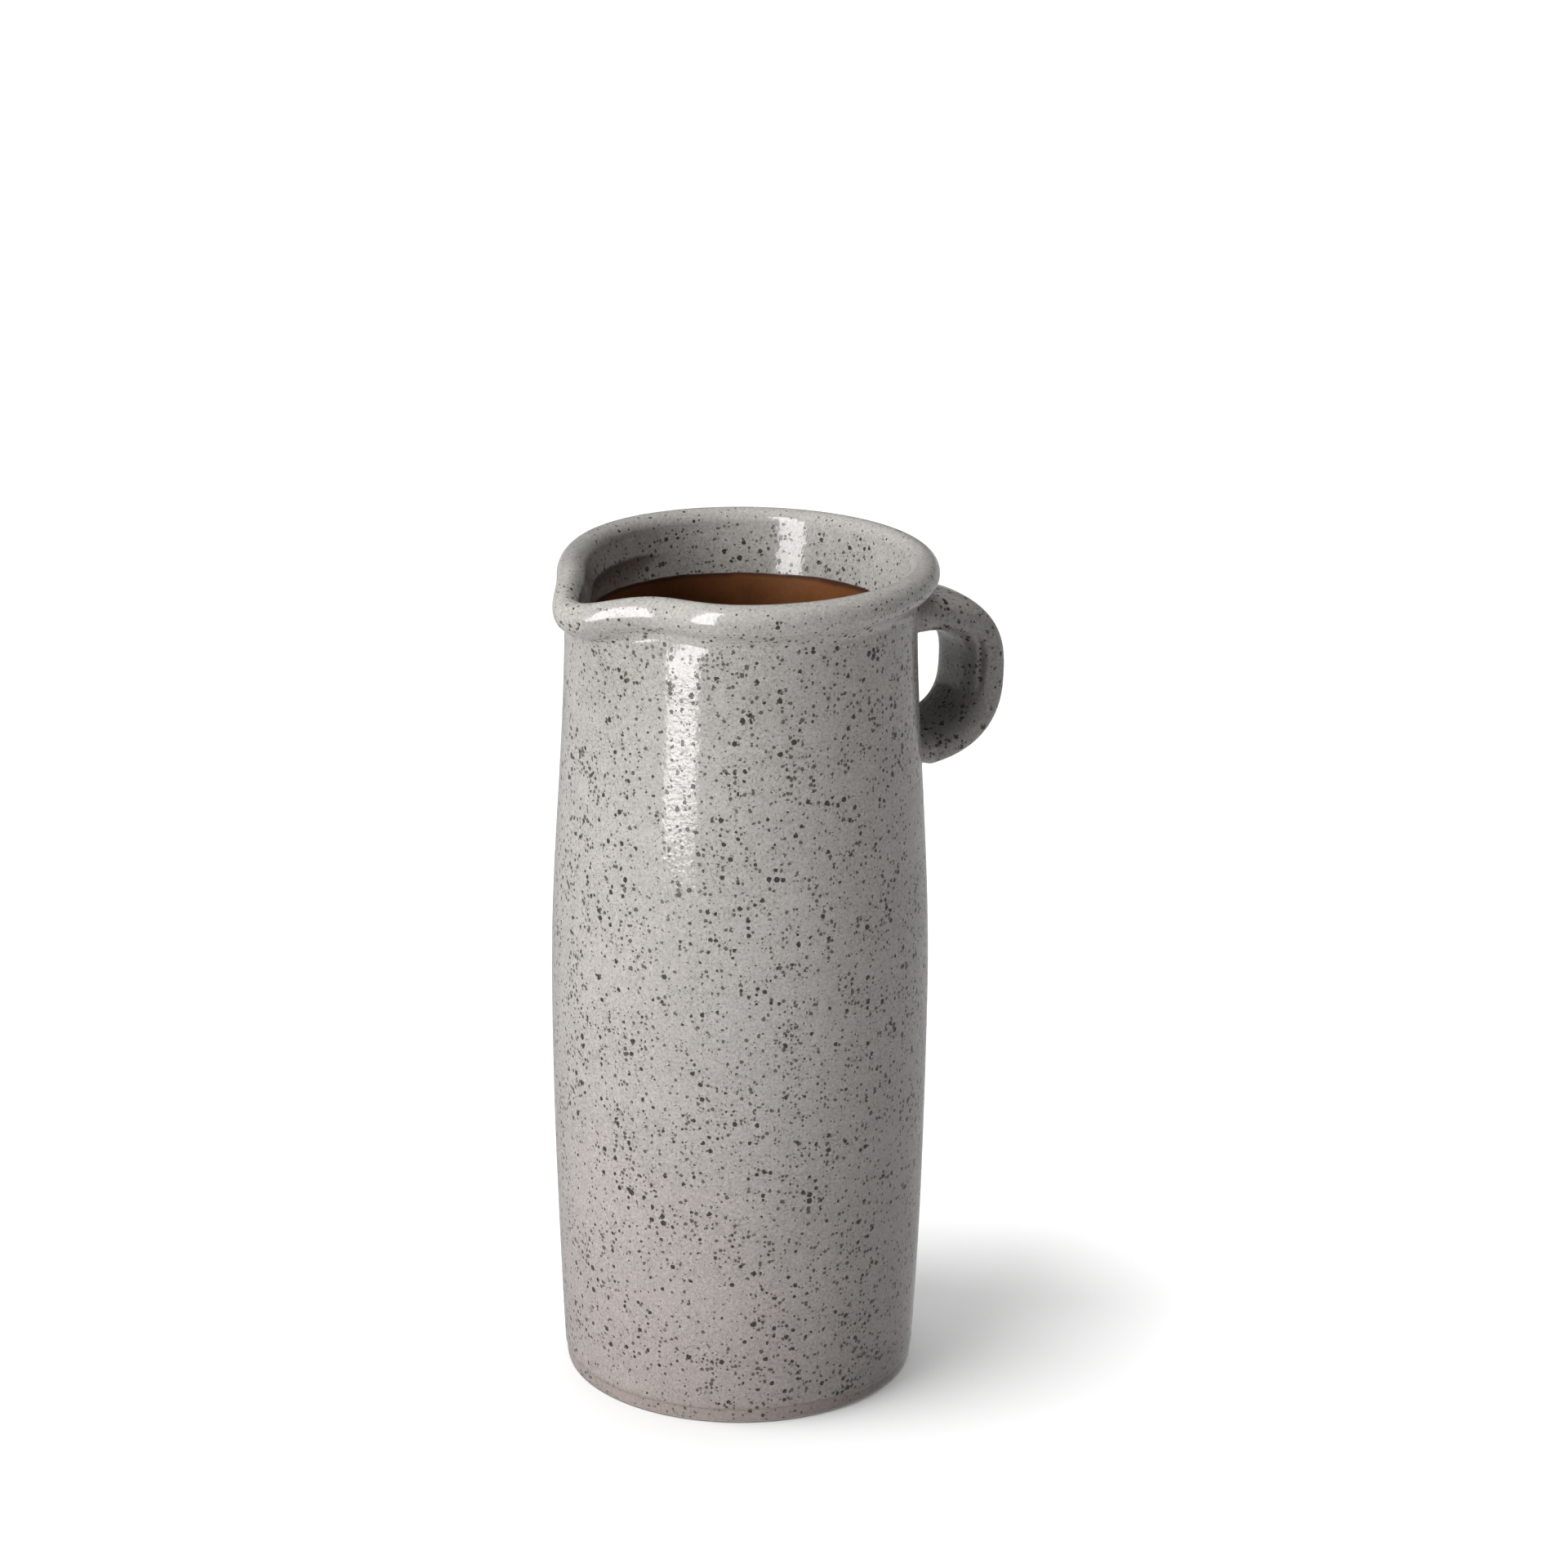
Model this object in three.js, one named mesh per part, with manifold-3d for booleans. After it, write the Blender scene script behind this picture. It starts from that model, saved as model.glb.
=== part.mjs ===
// Stoneware pitcher: a thrown body with a gentle belly, a rolled rim with a pulled
// pouring lip, and a strap loop handle luted on opposite the lip.
// Millimetres, +Z up. The origin is on the body's axis, at the flat underside.
// The handle stands along +X and the lip points close to -X.
import * as THREE from 'three';
import { mergeVertices } from 'three/addons/utils/BufferGeometryUtils.js';
import Module from 'manifold-3d';

// Body
const height = 250;
const footRadius = 52.4;
const bellyRadius = 55.7;
const bellyHeight = 118;
const neckRadius = 50.9;
const wallThickness = 5.2;

// Base slab, whose edge shows as the foot band
const footBand = 4.4;
const footBevel = 1.6;
const floorThickness = 8;
const coveRadius = 7;

// Rolled rim
const rimHalfWidth = 4.3;
const rimHalfHeight = 4.7;
const rimOverhang = 6.2;
const rimNeck = 0.8;

// Pouring lip: how far the rim is pulled out and down, in mm and radians.
// It sits a little round from straight opposite the handle, towards -Y.
const lipTurn = 0.1;
const lipReach = 7.6;
const lipSpread = 0.26;
const lipDip = 4.2;
const dipSpread = 0.25;
const lipDepth = 18;

// The flanks beside the lip pinch in, more gently on the +Y side
const leftFlank = { pinch: 3.1, angle: 0.49, spread: 0.27 };
const rightFlank = { pinch: 4.2, angle: -0.64, spread: 0.75 };

// Brown liner glaze
const linerThickness = 0.6;
const linerDrop = 17.5;

// Strap handle
const handleDrop = 44.5;
const handleHeight = height - handleDrop;
const handleReach = 28.4;
const handleHalfRise = 20.9;
const handleSquareness = 2.7;
const strapWidth = 28;
const strapThickness = 12.6;
const strapSquareness = 2.3;
const rootLength = 8;
const upperFlare = 0.22;
const lowerFlare = 0.4;
const rootSink = 7;

// Pieces that touch on the real object keep this gap
const seatGap = 0.3;

const neckHeight = height - 2 * rimHalfHeight - rimNeck;
const wallFoot = footBand + seatGap;
const wallTop = neckHeight - seatGap;
const lipLow = wallTop - lipDepth;
const spigotRadius = footRadius - wallThickness - seatGap;
const segments = 64;

function outerRadius(z) {
  if (z < bellyHeight) {
    const fall = (bellyHeight - z) / bellyHeight;
    return bellyRadius - (bellyRadius - footRadius) * fall * fall;
  }
  const rise = Math.min((z - bellyHeight) / (neckHeight - bellyHeight), 1);
  return bellyRadius - (bellyRadius - neckRadius) * (1 - Math.cos(Math.PI * rise)) / 2;
}

function innerRadius(z) {
  return outerRadius(z) - wallThickness;
}

// Smooth bump of width spread, one at its centre
function bump(angle, spread) {
  return Math.exp(-((angle / spread) ** 2));
}

// Moves a point of the round body to where the potter's fingers pulled the lip
function pullLip(angle, r, z) {
  if (r === 0) return [0, 0, z];
  const lipAngle = Math.PI + lipTurn;
  const fromLip = Math.atan2(Math.sin(angle - lipAngle), Math.cos(angle - lipAngle));
  const share = Math.min(Math.max((z - lipLow) / lipDepth, 0), 1) ** 3;
  const reach = lipReach * bump(fromLip, lipSpread);
  const pinches = [leftFlank, rightFlank].map(
    (flank) => flank.pinch * bump(fromLip - flank.angle, flank.spread),
  );
  const pulled = r + share * (reach - pinches[0] - pinches[1]);
  const sunk = z - share * lipDip * bump(fromLip, dipSpread);
  return [pulled * Math.cos(angle), pulled * Math.sin(angle), sunk];
}

// Turned body from a profile of [r, z] points, counter-clockwise with r to the right
// and z up. A profile that starts and ends on the axis is closed there.
function turn(profile) {
  const count = profile.length;
  const onAxis = profile[0][0] === 0;
  const positions = [];
  for (const [r, z] of profile) {
    for (let i = 0; i < segments; i += 1) {
      positions.push(...pullLip((2 * Math.PI * i) / segments, r, z));
    }
  }
  const faces = [];
  const rows = onAxis ? count - 1 : count;
  for (let j = 0; j < rows; j += 1) {
    const next = (j + 1) % count;
    for (let i = 0; i < segments; i += 1) {
      const k = (i + 1) % segments;
      const a = j * segments + i;
      const b = j * segments + k;
      const c = next * segments + k;
      const d = next * segments + i;
      if (profile[j][0] > 0) faces.push(a, b, c);
      if (profile[next][0] > 0) faces.push(a, c, d);
    }
  }
  return shape(positions, faces);
}

// Body swept through rings of equal length, closed by a fan at each end
function sweep(rings) {
  const size = rings[0].length;
  const positions = rings.flat(2);
  const faces = [];
  for (let j = 0; j < rings.length - 1; j += 1) {
    for (let i = 0; i < size; i += 1) {
      const k = (i + 1) % size;
      const a = j * size + i;
      const b = j * size + k;
      faces.push(a, b, b + size, a, b + size, a + size);
    }
  }
  const last = (rings.length - 1) * size;
  for (let i = 1; i < size - 1; i += 1) {
    faces.push(0, i + 1, i);
    faces.push(last, last + i, last + i + 1);
  }
  return shape(positions, faces);
}

function shape(positions, faces) {
  const geometry = new THREE.BufferGeometry();
  geometry.setAttribute('position', new THREE.Float32BufferAttribute(positions, 3));
  geometry.setIndex(faces);
  return mergeVertices(geometry, 1e-5);
}

function heights(from, to, steps) {
  return Array.from({ length: steps + 1 }, (_, i) => from + ((to - from) * i) / steps);
}

// Heights up the wall, closer together where the lip bends it
const wallRows = [...heights(wallFoot, lipLow, 11), ...heights(lipLow, wallTop, 6).slice(1)];

// Quarter round between the floor and the wall, at a depth inside the slab's own cove
function cove(depth, steps) {
  const radius = coveRadius - depth;
  return heights(0, (steps * Math.PI) / 10, steps).map((turned) => [
    spigotRadius - coveRadius + radius * Math.sin(turned),
    floorThickness + coveRadius - radius * Math.cos(turned),
  ]);
}

function baseSlab() {
  const dish = cove(0, 4).reverse();
  return turn([
    [0, 0],
    [footRadius - footBevel, 0],
    [footRadius - footBevel * 0.3, footBevel * 0.3],
    [outerRadius(footBevel), footBevel],
    [outerRadius(footBand), footBand],
    [spigotRadius, footBand],
    [spigotRadius, dish[0][1]],
    ...dish,
    [0, floorThickness],
  ]);
}

function bodyWall() {
  const outside = wallRows.map((z) => [outerRadius(z), z]);
  const inside = wallRows.map((z) => [innerRadius(z), z]).reverse();
  return turn([...outside, ...inside]);
}

function rimRoll() {
  const centreRadius = neckRadius + rimOverhang - rimHalfWidth;
  const centreHeight = height - rimHalfHeight;
  const roll = heights(-Math.PI / 3, Math.PI, 16).map((angle) => [
    centreRadius + rimHalfWidth * Math.cos(angle),
    centreHeight + rimHalfHeight * Math.sin(angle),
  ]);
  const inner = innerRadius(neckHeight);
  const waist = (inner + centreRadius - rimHalfWidth) / 2;
  return turn([
    [neckRadius, neckHeight],
    [neckRadius + rimNeck, neckHeight + rimNeck],
    ...roll,
    [waist, (neckHeight + centreHeight) / 2],
    [inner, neckHeight],
  ]);
}

// Poured coat that lines the floor, the cove and the wall up to its own edge
function linerGlaze() {
  const top = height - linerDrop;
  const low = floorThickness + coveRadius + seatGap;
  const rows = [...wallRows.filter((z) => z > low && z < top), top];
  const skin = (depth) => [
    [0, floorThickness + depth],
    ...cove(depth, 5),
    ...rows.map((z) => [innerRadius(z) - depth, z]),
  ];
  return turn([...skin(seatGap), ...skin(seatGap + linerThickness).reverse()]);
}

// Point on the handle's centre line: half a rounded loop standing on the neck,
// from 0 at its upper end to 1 at its lower end
function loopPoint(t) {
  const angle = Math.PI * (0.5 - t);
  const across = Math.abs(Math.cos(angle)) ** (2 / handleSquareness);
  const up = Math.sign(Math.sin(angle)) * Math.abs(Math.sin(angle)) ** (2 / handleSquareness);
  return new THREE.Vector2(neckRadius + handleReach * across, handleHeight + handleHalfRise * up);
}

// Rounded strap section round a point of the XZ plane. The face looks along the turn.
function strapRing(centre, along, widen, thicken) {
  const sides = 20;
  const ring = [];
  for (let i = 0; i < sides; i += 1) {
    const angle = (2 * Math.PI * i) / sides;
    const c = Math.cos(angle);
    const s = Math.sin(angle);
    const power = 2 / strapSquareness;
    const y = Math.sign(c) * Math.abs(c) ** power * strapWidth * widen / 2;
    const n = Math.sign(s) * Math.abs(s) ** power * strapThickness * thicken / 2;
    ring.push([centre.x - along.y * n, y, centre.y + along.x * n]);
  }
  return ring;
}

function strapStations() {
  const steps = 400;
  const points = heights(0, 1, steps).map(loopPoint);
  const clear = neckRadius + rootLength;
  const first = points.findIndex((p) => p.x >= clear);
  const last = points.length - 1 - [...points].reverse().findIndex((p) => p.x >= clear);
  return new THREE.SplineCurve(points.slice(first, last + 1)).getSpacedPoints(26);
}

function handleStrap(stations) {
  const rings = stations.map((p, i) => {
    const before = stations[Math.max(i - 1, 0)];
    const after = stations[Math.min(i + 1, stations.length - 1)];
    return strapRing(p, after.clone().sub(before).normalize(), 1, 1);
  });
  return sweep(rings);
}

// Luting clay between the strap's end and the wall. It leaves the strap square to its
// end, runs level into the wall, and flares towards the loop: lean is -1 down, 1 up.
function handleRoot(end, inner, flare, lean) {
  const leave = end.clone().sub(inner).normalize();
  const level = new THREE.Vector2(-1, 0);
  const start = end.clone().addScaledVector(leave, seatGap);
  const length = start.x - neckRadius + rootSink;
  const rings = heights(0, 1, 7).map((t) => {
    const grown = flare * Math.min((t * length) / rootLength, 1) ** 2;
    const centre = start.clone().addScaledVector(level, t * length);
    centre.y += (lean * grown * strapThickness) / 2;
    const along = leave.clone().lerp(level, Math.min(2 * t, 1)).normalize();
    return strapRing(centre, along, 1 + grown * 0.6, 1 + grown);
  });
  return sweep(rings);
}

// Solid that fills the body's outline and the seat gap round it
function bodyCutter() {
  const outline = heights(footBand, neckHeight, 24).map((z) => [outerRadius(z) + seatGap, z]);
  return turn([[0, footBand], ...outline, [0, neckHeight]]);
}

const wasm = await Module();
wasm.setup();

function solid(geometry) {
  const bare = geometry.clone();
  bare.deleteAttribute('normal');
  bare.deleteAttribute('uv');
  const merged = mergeVertices(bare, 1e-5);
  const vertProperties = Float32Array.from(merged.attributes.position.array);
  const triVerts = Uint32Array.from(merged.index.array);
  return new wasm.Manifold(new wasm.Mesh({ numProp: 3, vertProperties, triVerts }));
}

function cut(geometry, tool) {
  const mesh = solid(geometry).subtract(solid(tool)).getMesh();
  return shape(Array.from(mesh.vertProperties), Array.from(mesh.triVerts));
}

const pitcher = new THREE.Group();
pitcher.name = 'ceramic_pitcher';

function add(name, geometry, color, roughness) {
  geometry.computeVertexNormals();
  const material = new THREE.MeshStandardMaterial({ color, roughness, metalness: 0 });
  material.name = name;
  const mesh = new THREE.Mesh(geometry, material);
  mesh.name = name;
  pitcher.add(mesh);
}

const stations = strapStations();
const upperRoot = handleRoot(stations[0], stations[1], upperFlare, -1);
const lowerRoot = handleRoot(stations.at(-1), stations.at(-2), lowerFlare, 1);

add('base_slab', baseSlab(), 0x9c928c, 0.45);
add('body_wall', bodyWall(), 0xaaa6a1, 0.28);
add('rim_roll', rimRoll(), 0xb0aca7, 0.26);
add('liner_glaze', linerGlaze(), 0x5a2f1a, 0.35);
add('handle_strap', handleStrap(stations), 0x9a9692, 0.28);
add('handle_upper_root', cut(upperRoot, bodyCutter()), 0x9c9894, 0.3);
add('handle_lower_root', cut(lowerRoot, bodyCutter()), 0x9c9894, 0.3);

export default pitcher;
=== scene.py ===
import math

import bpy
import numpy as np
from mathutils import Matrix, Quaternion, Vector


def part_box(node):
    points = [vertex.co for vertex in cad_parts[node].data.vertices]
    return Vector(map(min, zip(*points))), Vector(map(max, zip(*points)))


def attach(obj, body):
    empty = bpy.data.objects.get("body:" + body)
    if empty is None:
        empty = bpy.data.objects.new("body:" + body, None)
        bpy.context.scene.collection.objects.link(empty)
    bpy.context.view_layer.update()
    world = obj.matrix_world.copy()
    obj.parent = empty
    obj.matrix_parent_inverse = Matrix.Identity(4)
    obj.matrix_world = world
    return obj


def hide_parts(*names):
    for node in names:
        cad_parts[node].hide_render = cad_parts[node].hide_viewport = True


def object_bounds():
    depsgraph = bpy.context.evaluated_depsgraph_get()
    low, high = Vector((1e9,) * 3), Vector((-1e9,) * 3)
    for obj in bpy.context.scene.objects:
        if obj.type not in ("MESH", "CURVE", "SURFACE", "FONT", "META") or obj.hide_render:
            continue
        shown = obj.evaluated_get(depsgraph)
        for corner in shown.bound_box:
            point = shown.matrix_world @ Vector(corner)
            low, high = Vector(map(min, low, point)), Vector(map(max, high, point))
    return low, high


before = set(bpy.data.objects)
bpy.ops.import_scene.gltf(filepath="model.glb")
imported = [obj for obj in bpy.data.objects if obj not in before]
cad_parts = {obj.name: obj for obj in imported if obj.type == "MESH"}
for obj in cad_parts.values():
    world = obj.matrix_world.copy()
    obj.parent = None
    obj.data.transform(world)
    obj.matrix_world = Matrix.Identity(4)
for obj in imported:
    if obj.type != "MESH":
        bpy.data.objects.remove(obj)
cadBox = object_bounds()

mm = 0.001
around = 360           # steps round the pot
nearAxis = 1 * mm      # radius where hidden rows stop short of the axis
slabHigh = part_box("base_slab")[1]
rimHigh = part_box("rim_roll")[1]
linerLow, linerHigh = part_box("liner_glaze")

rim = {
    "halfWidth": 4.3 * mm,
    "halfHeight": 4.7 * mm,
    "overhang": 6.2 * mm,
    "neck": 0.8 * mm,
    "seam": 0.3 * mm,
    "soften": 3.6 * mm,           # height of the soft groove under the roll
    "turn": (-52, 172),           # degrees of the roll, from its underside over to the inside
    "grooveStart": (0, 6.5 * mm),  # pull of the groove's curve at each end
    "grooveEnd": (4.2 * mm, 3.6 * mm),
    "core": ((48.4 * mm, 235 * mm), (48.2 * mm, 225 * mm)),   # down the middle of the clay
    "wave": 0.28 * mm,            # how far the rim wanders from level
    "waveDepth": 20 * mm,         # how far below the neck the wander begins
    "ripple": ((1, 2, 0.9), (1, 3, 4.4)),
}

wall = {
    "footRadius": 52.4 * mm,
    "bellyRadius": 55.7 * mm,
    "bellyHeight": 118 * mm,
    "neckRadius": 50.9 * mm,
    "thickness": 5.2 * mm,
    "swell": 1.1 * mm,            # extra clay inside the neck
    "swellHeight": 229 * mm,
    "swellSpread": 15 * mm,
    "ringDepth": 0.008 * mm,      # throwing rings
    "ringPitch": 5.3 * mm,
    "wander": 0.22 * mm,          # slow unevenness left by the hands
    "wanderWaves": ((1, 2, 31, 0.6), (1, 3, -47, 2.1), (0.5, 5, 83, 4.0)),
}

foot = {
    "slab": 8 * mm,
    "band": 4.6 * mm,
    "bevel": 1.5 * mm,
    "round": 1.2 * mm,
    "step": 0.35 * mm,            # the glaze edge stands this far over the band
    "edgeDrop": 0.5 * mm,         # the edge starts this far under the band's top
    "edgeRise": 0.9 * mm,
    "wave": 0.225 * mm,
    "waveReach": 2.4 * mm,
    "waveRows": 24,               # rows above the band that can move
    "ripple": ((1, 3, 1), (0.6, 8, 2.6), (0.35, 19, 0), (0.2, 41, 1)),
}

lip = {
    "turn": math.pi + 0.1,
    "reach": 7.6 * mm,
    "spread": 0.26,
    "dip": 4.2 * mm,
    "dipSpread": 0.25,
    "depth": 18 * mm,
    "flare": 3,                   # a higher power keeps the pull closer to the rim
    "flankFlare": 5,
    "flanks": ((3.1 * mm, 0.49, 0.27), (4.2 * mm, -0.64, 0.75)),
}

throat = {
    "foot": 231 * mm,             # the slope inside the rim ends here
    "low": 224 * mm,              # the plain inside of the wall starts here
    "slopeStart": (-3.4 * mm, -14.5 * mm),
    "slopeEnd": (-3.6 * mm, -14.8 * mm),
    "turnStart": (-1.0 * mm, -6 * mm),
    "turnEnd": (0, -6 * mm),
}

height = rimHigh.z
neckHeight = height - 2 * rim["halfHeight"] - rim["neck"]
wallTop = neckHeight - rim["seam"]
angles = np.linspace(0, 2 * np.pi, around, endpoint=False)


def bump(value, spread):
    return np.exp(-((value / spread) ** 2))


def smooth(value, low, high):
    t = np.clip((value - low) / (high - low), 0, 1)
    return t * t * (3 - 2 * t)


# Sum of waves, each with its size, how many go round, and where it starts
def ripple(angle, waves):
    return sum(size * np.sin(count * angle + start) for size, count, start in waves)


def outerRadius(z):
    fall = np.clip((wall["bellyHeight"] - z) / wall["bellyHeight"], 0, 1)
    rise = np.clip((z - wall["bellyHeight"]) / (neckHeight - wall["bellyHeight"]), 0, 1)
    low = (wall["bellyRadius"] - wall["footRadius"]) * fall ** 2
    high = (wall["bellyRadius"] - wall["neckRadius"]) * (1 - np.cos(np.pi * rise)) / 2
    return wall["bellyRadius"] - low - high


# The wall thickens inside the neck, so that the mouth opens out like a shallow funnel
def innerRadius(z):
    swell = wall["swell"] * bump(z - wall["swellHeight"], wall["swellSpread"])
    return outerRadius(z) - wall["thickness"] - swell


# Where the fingers pulled the lip out and down, and pinched in its flanks
def pullLip(angle, r, z):
    fromLip = np.arctan2(np.sin(angle - lip["turn"]), np.cos(angle - lip["turn"]))
    climb = np.clip((z - wallTop + lip["depth"]) / lip["depth"], 0, 1)
    share = climb ** lip["flare"]
    out = share * lip["reach"] * bump(fromLip, lip["spread"])
    for pinch, side, spread in lip["flanks"]:
        out = out - climb ** lip["flankFlare"] * pinch * bump(fromLip - side, spread)
    down = lip["dip"] * bump(fromLip, lip["dipSpread"])
    return r + out, z - share * down


# Slow unevenness and fine throwing rings, always inwards so that the pot keeps its size
def handWork(angle, z):
    slow = sum(size * np.sin(count * angle + climb * z + start)
               for size, count, climb, start in wall["wanderWaves"])
    slow = slow / sum(wave[0] for wave in wall["wanderWaves"])
    rings = np.sin(2 * np.pi * z / wall["ringPitch"] + 0.7 * np.sin(angle + 19 * z) + angle)
    rings = rings * (0.55 + 0.45 * np.sin(61 * z + 1.3))
    return -wall["wander"] * (0.5 + 0.5 * slow) - wall["ringDepth"] * (0.5 + 0.5 * rings)


# Rows between two profile points, on a curve with the given pull at each end
def hermite(start, startPull, end, endPull, steps):
    t = np.linspace(0, 1, steps + 1)[1:-1, None]
    start, end = np.array(start), np.array(end)
    a, b = np.array(startPull), np.array(endPull)
    rows = ((2 * t**3 - 3 * t**2 + 1) * start + (t**3 - 2 * t**2 + t) * a
            + (3 * t**2 - 2 * t**3) * end + (t**3 - t**2) * b)
    return rows.tolist()


# Unit normals of a grid of points, rows by columns, columns running round
def gridNormals(grid):
    acrossColumns = np.roll(grid, -1, 1) - np.roll(grid, 1, 1)
    normal = np.cross(acrossColumns, np.gradient(grid, axis=0))
    size = np.linalg.norm(normal, axis=2, keepdims=True)
    return normal / np.maximum(size, 1e-12)


# Mesh piece from rows of points. The ends are closed by one face each, or joined in a ring.
def makePiece(name, grid, normals, ring=False):
    rows, columns, _ = grid.shape
    inset = 0.01 * mm      # kept off the sides and top of the CAD box, but not off the table
    low = np.array(cadBox[0]) + inset * np.array((1, 1, 0))
    high = np.array(cadBox[1]) - inset
    points = np.clip(grid.reshape(-1, 3), low, high)
    faces = []
    for j in range(rows if ring else rows - 1):
        upper = (j + 1) % rows
        for i in range(columns):
            k = (i + 1) % columns
            faces.append((j * columns + i, j * columns + k, upper * columns + k, upper * columns + i))
    if not ring:
        faces.append(tuple(reversed(range(columns))))
        faces.append(tuple(range((rows - 1) * columns, rows * columns)))
    mesh = bpy.data.meshes.new(name)
    mesh.from_pydata(points.tolist(), [], faces)
    mesh.update()
    mesh.shade_smooth()
    mesh.normals_split_custom_set_from_vertices(normals.reshape(-1, 3).tolist())
    piece = bpy.data.objects.new(name, mesh)
    bpy.context.scene.collection.objects.link(piece)
    return piece


# Turns profile rows of (r, z) into a grid, with the lip pulled and the hand work added
def turned(profile, strength):
    r, z = np.repeat(np.array(profile).T[:, :, None], around, axis=2)
    r = np.maximum(r + handWork(angles, z) * np.array(strength)[:, None], 0)
    wave = rim["wave"] * (0.5 + 0.25 * ripple(angles, rim["ripple"]))
    rimShare = smooth(z, neckHeight - rim["waveDepth"], height)
    pulled, sunk = pullLip(angles, r, z)
    return np.stack([pulled * np.cos(angles), pulled * np.sin(angles), sunk - wave * rimShare], axis=-1)


# Profile rows at the given heights on a wall line
def rowsAt(radius, heights, offset=0.0):
    return [(radius(z) + offset, z) for z in heights]


# Angles of a quarter turn, without the first
def quarter(steps):
    return np.linspace(0, math.pi / 2, steps + 1)[1:]


print("profile")

underside = [(r, 0.0) for r in np.linspace(0.02, 1, 6) * (wall["footRadius"] - foot["bevel"])]
bevelRows = [(wall["footRadius"] - foot["step"] - foot["round"] * (1 - math.sin(t)),
              foot["round"] * (1 - math.cos(t))) for t in quarter(6)]
edgeStart = foot["band"] - foot["edgeDrop"]
bandRows = rowsAt(outerRadius, np.linspace(foot["bevel"], edgeStart, 8), -foot["step"])
edgeRows = [(outerRadius(foot["band"]) - foot["step"] * (1 - math.sin(t)),
             edgeStart + foot["edgeRise"] * (1 - math.cos(t))) for t in quarter(6)]
shoulder = 200 * mm      # the rows lie closer above this height
wallHeights = np.concatenate([np.linspace(edgeRows[-1][1] + 0.6 * mm, shoulder, 150),
                              np.linspace(shoulder, neckHeight - rim["soften"], 46)[1:]])
wallRows = rowsAt(outerRadius, wallHeights)

rollRadius = wall["neckRadius"] + rim["overhang"] - rim["halfWidth"]
rollHeight = height - rim["halfHeight"]
rollRows = [(rollRadius + rim["halfWidth"] * math.cos(t), rollHeight + rim["halfHeight"] * math.sin(t))
            for t in np.radians(np.linspace(*rim["turn"], 50))]
grooveRows = hermite(wallRows[-1], rim["grooveStart"], rollRows[0], rim["grooveEnd"], 12)
throatFoot = (innerRadius(throat["foot"]), throat["foot"])
throatLow = (innerRadius(throat["low"]), throat["low"])
throatRows = hermite(rollRows[-1], throat["slopeStart"], throatFoot, throat["slopeEnd"], 24)
throatRows += [throatFoot]
throatRows += hermite(throatFoot, throat["turnStart"], throatLow, throat["turnEnd"], 6)
insideRows = rowsAt(innerRadius, np.linspace(throat["low"], foot["band"] + 1 * mm, 60))

# Each stretch of the outline, from the underside round to the inside, and how much hand work shows
stretches = (
    (underside + bevelRows, 0.0),
    (bandRows, 0.6),
    (edgeRows + wallRows, 1.0),
    (grooveRows, 0.9),
    (rollRows, 0.8),
    (throatRows, 0.5),
    (insideRows, 0.0),
)
profile = [row for rows, _ in stretches for row in rows]
pot = turned(profile, [share for rows, share in stretches for _ in rows])

# The glaze edge over the foot band wanders up and down
bandStart = len(underside) + len(bevelRows)
bandEnd = bandStart + len(bandRows)
nearFoot = pot[bandStart:bandEnd + foot["waveRows"], :, 2]
nearFoot += (foot["wave"] * ripple(angles, foot["ripple"])
             * bump(nearFoot - foot["band"], foot["waveReach"]))
potNormals = gridNormals(pot)

print("body pieces")

seamRow = bandEnd + 1
neckRow = bandEnd + len(edgeRows) + len(wallRows)
throatRow = neckRow + len(grooveRows) + len(rollRows) + len(throatRows)


# Hidden rows inside the clay face straight up
def upright(rows):
    return np.tile((0, 0, 1.0), (rows, around, 1))


slabEdge = slabHigh.x - wall["thickness"]
slabTop = turned([(slabEdge, foot["band"]), (slabEdge - 1 * mm, foot["slab"]),
                  (nearAxis, foot["slab"])], [0, 0, 0])
baseSlab = makePiece("baseSlab", np.concatenate([pot[:seamRow], slabTop]),
                     np.concatenate([potNormals[:seamRow], upright(3)]))

# The wall and the rim part from each other along rows down the middle of the clay
core = turned(rim["core"], [0, 0])
bodyWall = makePiece("bodyWall", np.concatenate([pot[seamRow - 1:neckRow], core, pot[throatRow:]]),
                     np.concatenate([potNormals[seamRow - 1:neckRow], upright(2), potNormals[throatRow:]]),
                     ring=True)
rimRoll = makePiece("rimRoll", np.concatenate([pot[neckRow - 1:throatRow + 1], core[::-1]]),
                    np.concatenate([potNormals[neckRow - 1:throatRow + 1], upright(2)]), ring=True)

print("liner")

liner = {
    "proud": 0.25 * mm,           # the face stands this far in from the clay
    "buried": 0.5 * mm,           # and the back lies this far into it
    "backFoot": (40 * mm, 20 * mm),
    "crest": 0.4 * mm,
    "cove": 7 * mm,
    "floor": linerLow.z + 0.8 * mm,
    "underside": linerLow.z + 0.1 * mm,
    "edgeWave": mm / 6,
    "edgeDrop": 0.32 * mm,        # brings the edge's highest wave about level with the liner's top
    "edgeReach": 7 * mm,
    "ripple": ((1, 2, 2), (0.7, 5, 0), (0.4, 13, 1), (0.22, 34, 3), (0.12, 71, 0)),
}

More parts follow.
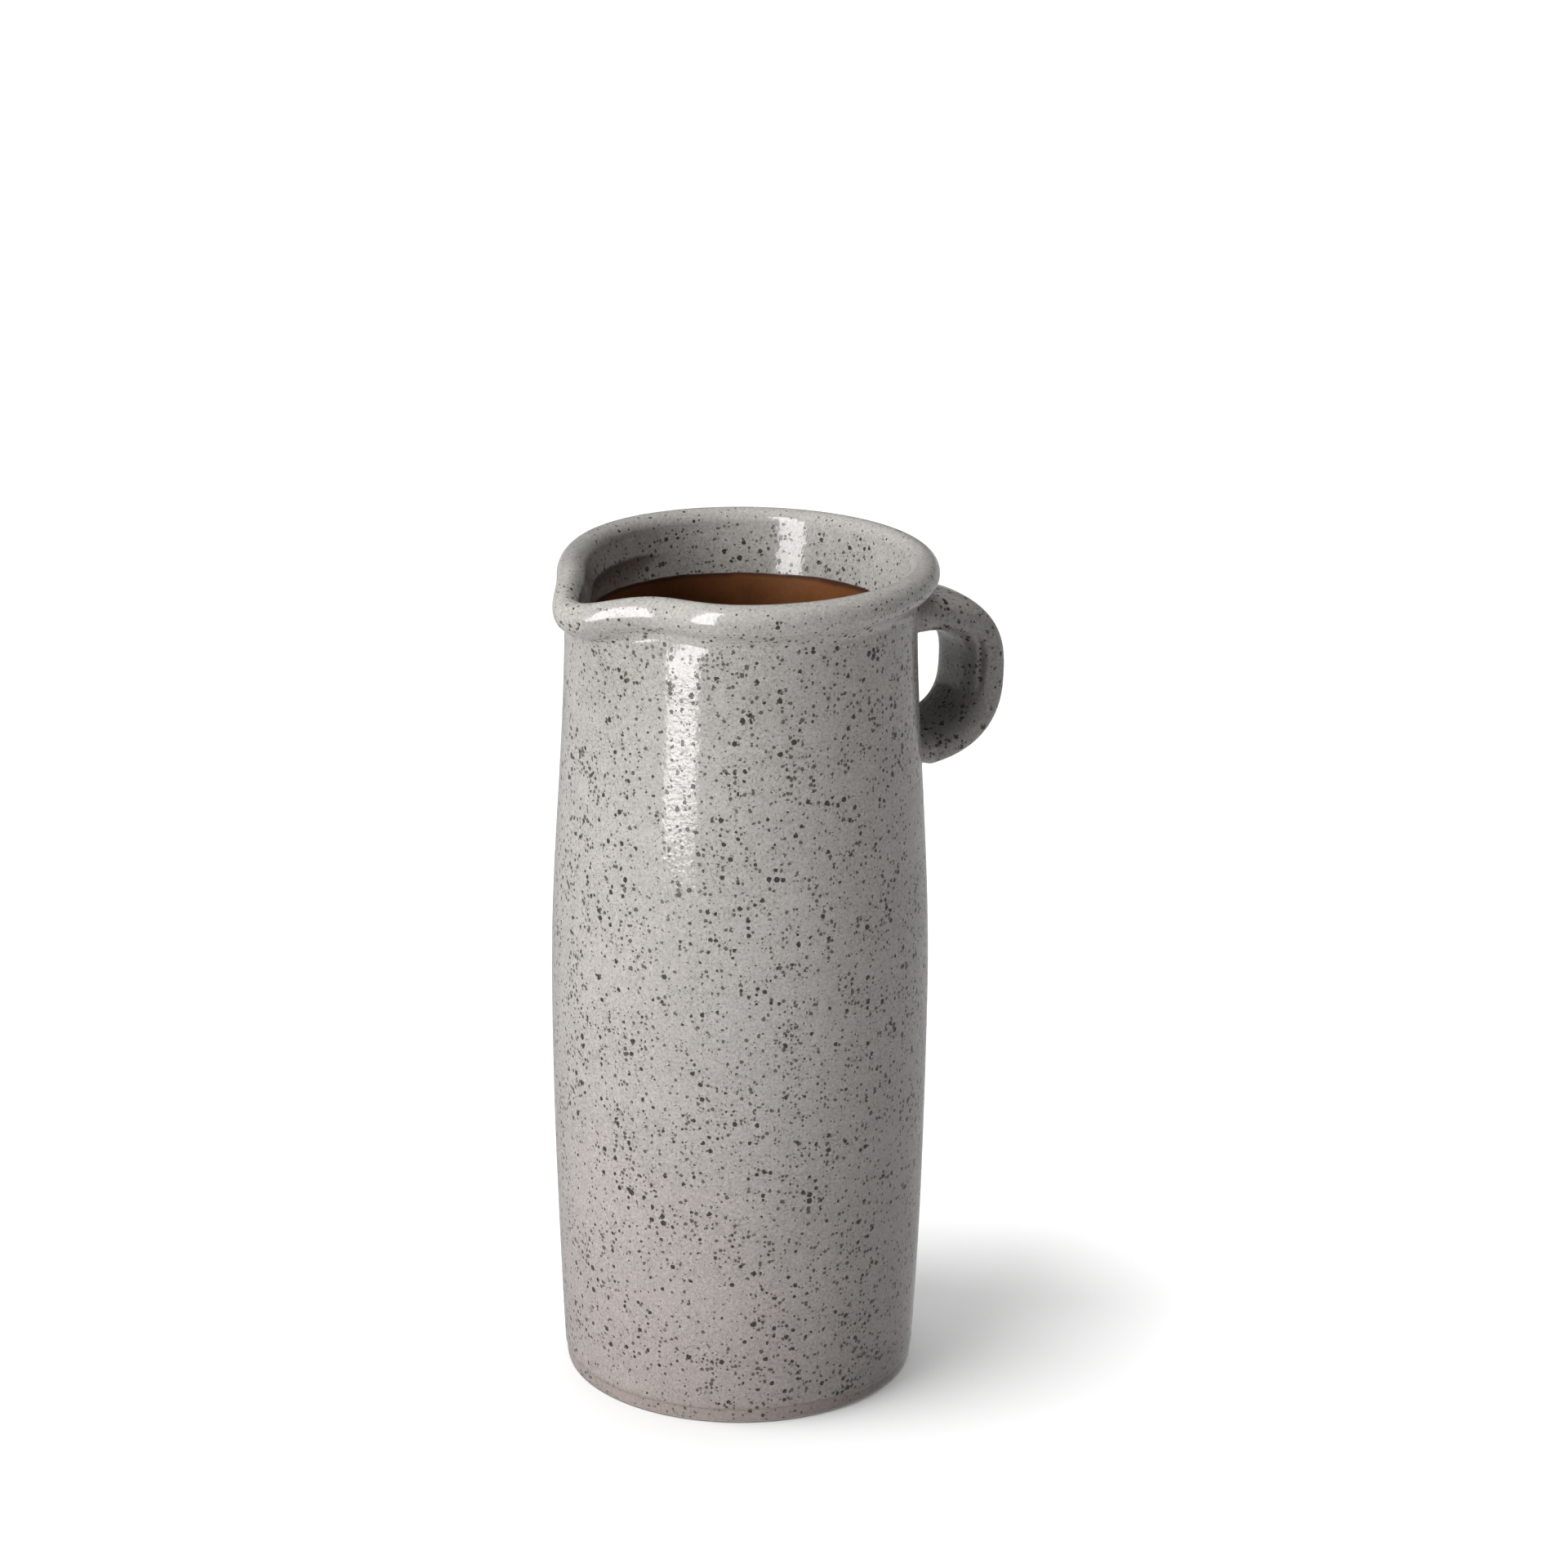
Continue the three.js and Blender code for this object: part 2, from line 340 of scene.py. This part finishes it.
linerTop = linerHigh.z
crestFoot = linerTop - liner["crest"]
backRadius, backLow = liner["backFoot"]
backRows = [(nearAxis, liner["underside"]), (backRadius, liner["underside"])]
backRows += rowsAt(innerRadius, np.linspace(backLow, crestFoot, 20), liner["buried"])
crestRows = [(innerRadius(linerTop) - liner["proud"] + (liner["proud"] + liner["crest"]) * math.cos(t),
              crestFoot + liner["crest"] * math.sin(t)) for t in np.linspace(0, math.pi / 2, 6)]
faceHeights = np.linspace(linerTop - 0.3 * mm, liner["floor"] + liner["cove"], 90)
faceRows = rowsAt(innerRadius, faceHeights, -liner["proud"])
coveRows = [(faceRows[-1][0] - liner["cove"] * (1 - math.cos(t)),
             liner["floor"] + liner["cove"] * (1 - math.sin(t))) for t in quarter(13)]
floorRows = [(r, liner["floor"]) for r in np.linspace(coveRows[-1][0], nearAxis / 2, 12)[1:]]
linerStrength = [0.0] * len(backRows + crestRows) + [0.5] * len(faceRows + coveRows)
linerStrength += [0.2] * len(floorRows)
linerGrid = turned(backRows + crestRows + faceRows + coveRows + floorRows, linerStrength)
nearTop = bump(linerGrid[:, :, 2] - linerTop, liner["edgeReach"])
linerGrid[:, :, 2] += (liner["edgeWave"] * ripple(angles, liner["ripple"]) - liner["edgeDrop"]) * nearTop
linerGlaze = makePiece("linerGlaze", linerGrid, gridNormals(linerGrid))

print("handle")

handle = {
    "height": 205.5 * mm,
    "reach": 28.4 * mm,
    "halfRise": 20.9 * mm,
    "squareness": 2.7,
    "width": 28 * mm,
    "thickness": 12.6 * mm,
    "roundness": 2.6,
    "rootLength": 8 * mm,
    "lump": 0.3 * mm,
}

# Where the strap folded over as it was bent: places along it run from 0 to 1
crease = {
    "depth": 0.8 * mm,
    "side": 3.682,                # angle round the section
    "slant": 0.9,
    "width": 0.13,
    "middle": 0.43,
    "length": 0.15,
}

# Fillets on the wall. Facing is -1 where the strap runs back to the wall.
upperRoot = {"facing": 1, "side": 3.2 * mm, "top": 2.6 * mm, "low": 4.4 * mm, "tuck": 0}
lowerRoot = {"facing": -1, "side": 3.2 * mm, "top": 5.0 * mm, "low": 1.2 * mm, "tuck": 2.6 * mm}

root = {
    "ripple": ((0.08, 3, 1), (0.05, 7, 0)),
    "tuckStart": 0.6,             # share of the tuck that is reached where the fillet begins
    "skirt": 0.25 * mm,
    "bite": 0.45 * mm,            # the last row sinks this far into the wall
}

sides = 96
strapRows = 120


# Power of a sine or cosine that keeps its sign, for rounded squares
def squared(value, squareness):
    return np.sign(value) * np.abs(value) ** (2 / squareness)


# The handle's loop, which leaves the wall and comes back to it as t goes from 0 to 1
def loopPoint(t):
    turn = np.pi * (0.5 - t)
    across = squared(np.cos(turn), handle["squareness"])
    up = squared(np.sin(turn), handle["squareness"])
    return np.stack([wall["neckRadius"] + handle["reach"] * across,
                     handle["height"] + handle["halfRise"] * up], axis=-1)


# Evenly spaced places along the loop, outside the roots
fine = loopPoint(np.linspace(0, 1, 4001))
fine = fine[fine[:, 0] >= wall["neckRadius"] + handle["rootLength"]]
along = np.concatenate([[0], np.cumsum(np.linalg.norm(np.diff(fine, axis=0), axis=1))])
even = np.linspace(0, along[-1], strapRows)
centres = np.stack([np.interp(even, along, fine[:, 0]), np.interp(even, along, fine[:, 1])], axis=-1)
tangents = np.gradient(centres, axis=0)
tangents /= np.linalg.norm(tangents, axis=1, keepdims=True)

section = np.linspace(0, 2 * np.pi, sides, endpoint=False)
acrossStrap = squared(np.cos(section), handle["roundness"])
throughStrap = squared(np.sin(section), handle["roundness"])


# One ring of the strap, with slow lumps and the crease
def strapRing(centre, tangent, t):
    deep = handle["thickness"] / 2
    lumps = 0.5 + 0.5 * np.sin(7 * t + 2 * section + 1.1) * np.sin(3 * t + section)
    past = t - crease["middle"]
    fold = bump(section - crease["side"] - crease["slant"] * past, crease["width"])
    fold = fold * bump(past, crease["length"])
    size = 1 - (handle["lump"] * lumps + crease["depth"] * fold) / deep
    y = acrossStrap * handle["width"] / 2 * size
    n = throughStrap * deep * size
    return np.stack([centre[0] - tangent[1] * n, y, centre[1] + tangent[0] * n], axis=-1)


strap = np.stack([strapRing(centre, tangent, t)
                  for centre, tangent, t in zip(centres, tangents, np.linspace(0, 1, strapRows))])

# Outward direction round the section, for the soft fillet at the wall
acrossSlope = np.roll(acrossStrap, -1) - np.roll(acrossStrap, 1)
throughSlope = np.roll(throughStrap, -1) - np.roll(throughStrap, 1)
slope = np.stack([throughSlope, -acrossSlope * handle["width"] / handle["thickness"]], axis=-1)
slope /= np.linalg.norm(slope, axis=1, keepdims=True)


# Root rows from a strap end to the wall, ending in a fillet that lies down on the wall
def rootRows(ring, shape):
    out, up = slope[:, 0], slope[:, 1] * shape["facing"]
    fillet = shape["side"] + np.maximum(up, 0) * (shape["top"] - shape["side"])
    fillet = fillet + np.maximum(-up, 0) * (shape["low"] - shape["side"])
    fillet = fillet * (1 + ripple(section, root["ripple"]))

    def place(spread, gap, share=1.0):
        y = ring[:, 1] + out * spread
        z = ring[:, 2] + up * spread + shape["tuck"] * share * np.maximum(-up, 0)
        radius = outerRadius(z) - 0.5 * (wall["wander"] + wall["ringDepth"])
        return np.stack([np.sqrt(radius**2 - y**2) + gap, y, z], axis=-1)

    start = place(0 * fillet, fillet, root["tuckStart"])
    rows = [ring + (start - ring) * t for t in np.linspace(0, 1, 9)[1:]]
    for turn in quarter(14):
        share = root["tuckStart"] + (1 - root["tuckStart"]) * np.sin(turn)
        rows.append(place(fillet * (1 - np.cos(turn)), fillet * (1 - np.sin(turn)), share))
    rows.append(place(fillet + root["skirt"], -root["bite"]))
    return np.stack(rows)


upper = rootRows(strap[0], upperRoot)
lower = rootRows(strap[-1], lowerRoot)
whole = np.concatenate([upper[::-1], strap, lower])
wholeNormals = gridNormals(whole)
firstRow = len(upper)
lastRow = firstRow + strapRows
handleUpperRoot = makePiece("handleUpperRoot", whole[:firstRow + 1], wholeNormals[:firstRow + 1])
handleStrap = makePiece("handleStrap", whole[firstRow:lastRow], wholeNormals[firstRow:lastRow])
handleLowerRoot = makePiece("handleLowerRoot", whole[lastRow - 1:], wholeNormals[lastRow - 1:])

print("glazes")


class Wire:
    # An output socket, so that shader maths reads as Python
    def __init__(self, tree, socket=None):
        self.tree = tree
        self.socket = socket

    def node(self, kind, settings=None, inputs=None, output=0):
        made = self.tree.nodes.new(kind)
        for key, value in (settings or {}).items():
            if key == "stops":
                ramp = made.color_ramp
                while len(ramp.elements) < len(value):
                    ramp.elements.new(0.5)
                for stop, (place, colour) in zip(ramp.elements, value):
                    stop.position = place
                    stop.color = (*colour, 1)
            else:
                setattr(made, key, value)
        for key, value in (inputs or {}).items():
            if isinstance(value, Wire):
                self.tree.links.new(value.socket, made.inputs[key])
            else:
                made.inputs[key].default_value = value
        return Wire(self.tree, made.outputs[output] if made.outputs else None)

    def maths(self, operation, first, second):
        return self.node("ShaderNodeMath", {"operation": operation}, {0: first, 1: second})

    def __add__(self, other):
        return self.maths("ADD", self, other)

    def __sub__(self, other):
        return self.maths("SUBTRACT", self, other)

    def __mul__(self, other):
        return self.maths("MULTIPLY", self, other)

    def __rsub__(self, other):
        return self.maths("SUBTRACT", other, self)

    __radd__ = __add__
    __rmul__ = __mul__

    # Another output of the same node
    def beside(self, name):
        return Wire(self.tree, self.socket.node.outputs[name])

    # Soft step from 0 at low to 1 at high
    def step(self, low, high):
        return self.node("ShaderNodeMapRange", {"interpolation_type": "SMOOTHSTEP"},
                         {"Value": self, "From Min": low, "From Max": high})

    # This colour with another laid over it
    def under(self, colour, amount):
        return self.node("ShaderNodeMix", {"data_type": "RGBA"},
                         {"Factor": amount, 6: self, 7: (*colour, 1)}, 2)


def noise(place, scale, detail=2.0, roughness=0.5):
    return place.node("ShaderNodeTexNoise", {"noise_dimensions": "3D"},
                      {"Vector": place, "Scale": scale, "Detail": detail, "Roughness": roughness})


# A new material with an empty tree, and the place and height on the piece
def startGlaze(name):
    material = bpy.data.materials.new(name)
    material.use_nodes = True
    material.node_tree.nodes.clear()
    place = Wire(material.node_tree).node("ShaderNodeTexCoord", output="Object")
    return material, place, place.node("ShaderNodeSeparateXYZ", {}, {"Vector": place}, "Z")


def finishGlaze(colour, rough, relief, strength, ior):
    normal = relief.node("ShaderNodeBump", {}, {"Strength": strength, "Distance": 1.0, "Height": relief})
    shader = normal.node("ShaderNodeBsdfPrincipled", {}, {
        "Base Color": colour, "Roughness": rough, "Normal": normal, "IOR": ior})
    shader.node("ShaderNodeOutputMaterial", {}, {"Surface": shader})


# Specks from the faintest to the darkest. Softness is the edge as a share of the largest radius.
speckKinds = {
    "halo": {"spacing": 1.9 * mm, "largest": 0.80 * mm, "softness": 0.5,
             "colour": (0.215, 0.205, 0.160), "cover": 0.42},
    "small": {"spacing": 0.46 * mm, "largest": 0.24 * mm, "softness": 0.3,
              "colour": (0.105, 0.098, 0.080), "cover": 0.70},
    "middle": {"spacing": 1.12 * mm, "largest": 0.53 * mm, "softness": 0.12,
               "colour": (0.046, 0.040, 0.030), "cover": 0.90},
    "big": {"spacing": 1.9 * mm, "largest": 0.64 * mm, "softness": 0.08,
            "colour": (0.020, 0.016, 0.012), "cover": 0.96},
}

# The ground is pinker low on the body and a greener grey high up
ground = {
    "stops": ((0.0, (0.318, 0.281, 0.268)),
              (0.16, (0.352, 0.318, 0.304)),
              (0.5, (0.392, 0.369, 0.352)),
              (0.95, (0.402, 0.384, 0.362)),
              (1.0, (0.406, 0.394, 0.370))),
    "cloud": 0.20,                # how strongly each noise shows in the tone
    "grain": 1.5,
    "flow": 0.26,
    "bands": 0.16,
    "bandShape": (0.12, 0.12, 1.0),
    "bareClay": (0.235, 0.185, 0.168),
}

# Lines round the foot: the wall's thin edge, the dark line on the band, and bare clay at the table
footLines = {
    "thinEdge": {"colour": (0.150, 0.118, 0.104), "cover": 0.55, "wobble": 0.8 * mm},
    "onBand": {"colour": (0.120, 0.088, 0.076), "cover": 0.6, "wobble": 0.9 * mm},
    "atTable": {"colour": (0.520, 0.470, 0.420), "cover": 0.8},
}

surface = {
    "peel": 0.11 * mm,            # orange peel, tiny pits, and specks that sit a little proud
    "pits": -0.03 * mm,
    "big": 0.03 * mm,
    "middle": 0.015 * mm,
    "speckBend": 0.8 * mm,        # bends the place a little so that no speck is a neat circle
    "rimThinning": 0.42,          # share by which specks shrink towards the top of the rim
}

glazeLooks = {
    "foot_glaze": {"tone": 0.60, "speck": 0.95, "warm": 0.35, "rough": 0.16},
    "speckled_glaze": {"tone": 0.68, "speck": 1.08, "warm": 0.0, "rough": 0.09},
    "rim_glaze": {"tone": 0.68, "speck": 1.0, "warm": 0.0, "rough": 0.09},
    # The handle and its roots have the body's glaze at a lower tone: this is painted shade, as they stand in
    # the pot's shade
    "handle_glaze": {"tone": 0.50, "speck": 1.1, "warm": 0.0, "rough": 0.10},
    "root_glaze": {"tone": 0.60, "speck": 1.0, "warm": 0.0, "rough": 0.10},
}


# Round specks of uneven size, most of them far smaller than the largest
def specks(place, kind, growth):
    share = kind["largest"] / kind["spacing"]
    near = place.node("ShaderNodeTexVoronoi", {"voronoi_dimensions": "3D", "feature": "F1"},
                      {"Vector": place, "Scale": 1 / kind["spacing"], "Randomness": 1.0})
    pick = near.node("ShaderNodeSeparateColor", {}, {"Color": near.beside("Color")})
    rare = pick * pick
    size = (rare * rare + rare * 0.25) * share * growth
    return (size - near).step(0.0, share * kind["softness"])


def speckledGlaze(name, looks):
    material, place, z = startGlaze(name)

    cloud = noise(place, 38, 4.0, 0.6) - 0.5
    grain = noise(place, 1150, 4.0, 0.8) - 0.5
    flow = noise(place, 230, 4.0, 0.65) - 0.5
    layers = place.node("ShaderNodeVectorMath", {"operation": "MULTIPLY"}, {0: place, 1: ground["bandShape"]})
    bands = noise(layers, 150, 3.0, 0.6) - 0.5
    tone = cloud * ground["cloud"] + grain * ground["grain"] + flow * ground["flow"] + bands * ground["bands"]
    base = z.node("ShaderNodeValToRGB", {"stops": ground["stops"]}, {"Fac": z * (1 / height)})
    colour = base.node("ShaderNodeVectorMath", {"operation": "SCALE"},
                       {0: base, "Scale": (tone + 1) * looks["tone"]})
    colour = colour.under(ground["bareClay"], looks["warm"])

    bend = noise(place, 1500).beside("Color")
    bent = place.node("ShaderNodeVectorMath", {"operation": "MULTIPLY_ADD"},
                      {0: bend, 1: (surface["speckBend"],) * 3, 2: place})
    crowded = noise(place, 55, 3.0, 0.6).step(0.34, 0.66) * 0.36 + 0.82
    thinRim = 1 - z.step(neckHeight + 3 * mm, height - 1 * mm) * surface["rimThinning"]
    growth = crowded * thinRim * looks["speck"]
    masks = {}
    for kindName, kind in speckKinds.items():
        masks[kindName] = specks(bent, kind, growth)
        colour = colour.under(kind["colour"], masks[kindName] * kind["cover"])

    if looks["warm"]:
        line, bare = footLines["onBand"], footLines["atTable"]
        wobble = noise(place, 120, 3.0) * line["wobble"]
        onBand = (z + wobble).step(foot["band"] - 0.2 * mm, foot["band"] + 0.8 * mm)
        atTable = 1 - z.step(0.25 * mm, 0.75 * mm)
        colour = colour.under(line["colour"], onBand * line["cover"])
        colour = colour.under(bare["colour"], atTable * bare["cover"])
    else:
        line = footLines["thinEdge"]
        wobble = noise(place, 160, 3.0) * line["wobble"]
        low = 1 - (z - wobble).step(foot["band"] - 0.6 * mm, foot["band"] + 0.7 * mm)
        colour = colour.under(line["colour"], low * line["cover"])

    peel = noise(place, 620)
    pits = noise(place, 1500).step(0.66, 0.8)
    relief = (peel * surface["peel"] + pits * surface["pits"]
              + masks["big"] * surface["big"] + masks["middle"] * surface["middle"])
    rough = cloud * 0.06 + pits * 0.2 + (masks["big"] + masks["middle"]) * 0.16 + looks["rough"]
    finishGlaze(colour, rough, relief, 0.55, 1.5)
    return material


linerLooks = {
    "stops": ((0.30, (0.105, 0.037, 0.011)),
              (0.52, (0.165, 0.061, 0.020)),
              (0.75, (0.225, 0.092, 0.036))),
    "edge": (0.030, 0.016, 0.014),        # dark line along the top
    "edgeHeight": 1.5 * mm,
    "edgeWobble": 1.6 * mm,
    "peel": 0.10 * mm,
    "wrinkle": 0.12 * mm,
    "grain": 0.012 * mm,
    "rough": 0.40,
}


def brownLiner(name):
    material, place, z = startGlaze(name)
    cloud = noise(place, 60, 4.0, 0.6)
    grain = noise(place, 1500, 3.0, 0.7)
    brown = cloud.node("ShaderNodeValToRGB", {"stops": linerLooks["stops"]},
                       {"Fac": cloud * 0.65 + grain * 0.35})
    wobble = noise(place, 210, 4.0, 0.6) * linerLooks["edgeWobble"]
    edge = (z + wobble).step(linerTop - linerLooks["edgeHeight"], linerTop + 0.1 * mm)
    colour = brown.under(linerLooks["edge"], edge * 0.85)
    relief = (noise(place, 300, 3.0) * linerLooks["peel"]
              + noise(place, 700, 3.0, 0.6) * edge * linerLooks["wrinkle"] + grain * linerLooks["grain"])
    finishGlaze(colour, (cloud - 0.5) * 0.2 + linerLooks["rough"], relief, 0.6, 1.45)
    return material


materials = {name: speckledGlaze(name, looks) for name, looks in glazeLooks.items()}
materials["brown_liner"] = brownLiner("brown_liner")

pieces = (
    (baseSlab, "base_slab", "foot_glaze"),
    (bodyWall, "body_wall", "speckled_glaze"),
    (rimRoll, "rim_roll", "rim_glaze"),
    (linerGlaze, "liner_glaze", "brown_liner"),
    (handleStrap, "handle_strap", "handle_glaze"),
    (handleUpperRoot, "handle_upper_root", "root_glaze"),
    (handleLowerRoot, "handle_lower_root", "root_glaze"),
)
for piece, node, slot in pieces:
    piece.data.materials.append(materials[slot])
    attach(piece, "root")
    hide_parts(node)

print("studio")

studio = {
    "turn": math.radians(-30),    # the camera's side of the pot
    "distance": 1.188,
    "height": 0.581,
    "lens": 98.7,
    "lookDown": math.radians(18.63),
    "lookRight": math.radians(0.609),
    "roll": math.radians(0.4),
}

# Angles are degrees to the right of the camera's side, and up from the table
suns = {
    "highKey": {"angle": -68, "rise": 74, "strength": 2.9, "softness": 22},
    "lowFill": {"angle": -51, "rise": 11, "strength": 5.1, "softness": 42},
    "rimTop": {"angle": 165, "rise": 72, "strength": 1.1, "softness": 90},
    "floorTop": {"angle": 165, "rise": 78, "strength": 2.5, "softness": 60},
}
strip = {"angle": -37, "distance": 0.70, "height": 0.69, "width": 0.24, "length": 1.30, "power": 10.0}

# Brightness of the air, from straight down to straight up. Only the gloss picks up the paler part below.
airTones = ((0.0, 0.40), (0.46, 0.44), (0.54, 0.04), (1.0, 0.04))

floorLooks = {"half": 12.0, "sink": 0.05 * mm, "colour": (0.66, 0.66, 0.66), "glow": 0.08,
              "rough": 0.9, "gloss": 0.1}


def linkNew(name, data):
    obj = bpy.data.objects.new(name, data)
    bpy.context.scene.collection.objects.link(obj)
    return obj


# A place round the pot: degrees to the right of the camera's side, distance and height
def stand(angle, distance, up):
    turn = studio["turn"] + math.radians(angle)
    return Vector((distance * math.sin(turn), -distance * math.cos(turn), up))


def aim(obj, target, twist=0.0):
    look = (Vector(target) - obj.location).to_track_quat("-Z", "Y")
    obj.rotation_mode = "QUATERNION"
    obj.rotation_quaternion = look @ Quaternion((0, 0, 1), twist)


cameraData = bpy.data.cameras.new("camera")
cameraData.lens = studio["lens"]
cameraData.sensor_width = 36
camera = linkNew("camera", cameraData)
camera.location = stand(0, studio["distance"], studio["height"])
heading = studio["turn"] - studio["lookRight"]
forward = Vector((-math.sin(heading) * math.cos(studio["lookDown"]),
                  math.cos(heading) * math.cos(studio["lookDown"]),
                  -math.sin(studio["lookDown"])))
aim(camera, camera.location + forward, studio["roll"])
bpy.context.scene.camera = camera


def softSun(name, sun):
    data = bpy.data.lights.new(name, "SUN")
    data.energy = sun["strength"]
    data.angle = math.radians(sun["softness"])
    light = linkNew(name, data)
    rise = math.radians(sun["rise"])
    light.location = stand(sun["angle"], 2 * math.cos(rise), 2 * math.sin(rise))
    aim(light, (0, 0, 0))
    light.visible_glossy = False
    return light


lights = {name: softSun(name, sun) for name, sun in suns.items()}

# A tall soft box that only the gloss picks up
stripData = bpy.data.lights.new("stripBox", "AREA")
stripData.shape = "RECTANGLE"
stripData.size = strip["width"]
stripData.size_y = strip["length"]
stripData.energy = strip["power"]
stripBox = linkNew("stripBox", stripData)
stripBox.location = stand(strip["angle"], strip["distance"], strip["height"])
aim(stripBox, (0, 0, strip["height"]))
stripBox.visible_camera = False
stripBox.visible_diffuse = False

world = bpy.data.worlds.new("studioAir")
bpy.context.scene.world = world
world.use_nodes = True
world.node_tree.nodes.clear()
up = Wire(world.node_tree).node("ShaderNodeTexCoord", output="Generated")
rise = up.node("ShaderNodeSeparateXYZ", {}, {"Vector": up}, "Z")
airTone = up.node("ShaderNodeValToRGB", {"stops": [(place, (tone,) * 3) for place, tone in airTones]},
                  {"Fac": rise * 0.5 + 0.5})
airLight = up.node("ShaderNodeBackground", {}, {"Color": airTone, "Strength": 1.0})
up.node("ShaderNodeOutputWorld", {}, {"Surface": airLight})

half = floorLooks["half"]
floorMesh = bpy.data.meshes.new("floor")
floorMesh.from_pydata([(-half, -half, 0), (half, -half, 0), (half, half, 0), (-half, half, 0)], [],
                      [(0, 1, 2, 3)])
floor = linkNew("floor", floorMesh)
floor.location.z = -floorLooks["sink"]
floorMaterial = bpy.data.materials.new("paleFloor")
floorMaterial.use_nodes = True
floorShader = floorMaterial.node_tree.nodes["Principled BSDF"].inputs
floorShader["Base Color"].default_value = (*floorLooks["colour"], 1)
floorShader["Emission Color"].default_value = (1, 1, 1, 1)
floorShader["Emission Strength"].default_value = floorLooks["glow"]
floorShader["Roughness"].default_value = floorLooks["rough"]
floorShader["Specular IOR Level"].default_value = floorLooks["gloss"]
floorMesh.materials.append(floorMaterial)
floor.visible_glossy = False


# Lets the named lights reach only the objects given
def lightOnly(name, receivers, lightNames):
    group = bpy.data.collections.new(name)
    for receiver in receivers:
        group.objects.link(receiver)
    for lightName in lightNames:
        lights[lightName].light_linking.receiver_collection = group


lightOnly("floorOnly", [floor], ["floorTop"])
lightOnly("potOnly", [piece for piece, _, _ in pieces], ["lowFill", "rimTop"])

bpy.context.scene.view_settings.view_transform = "Standard"
bpy.context.scene.view_settings.look = "None"

print("done")
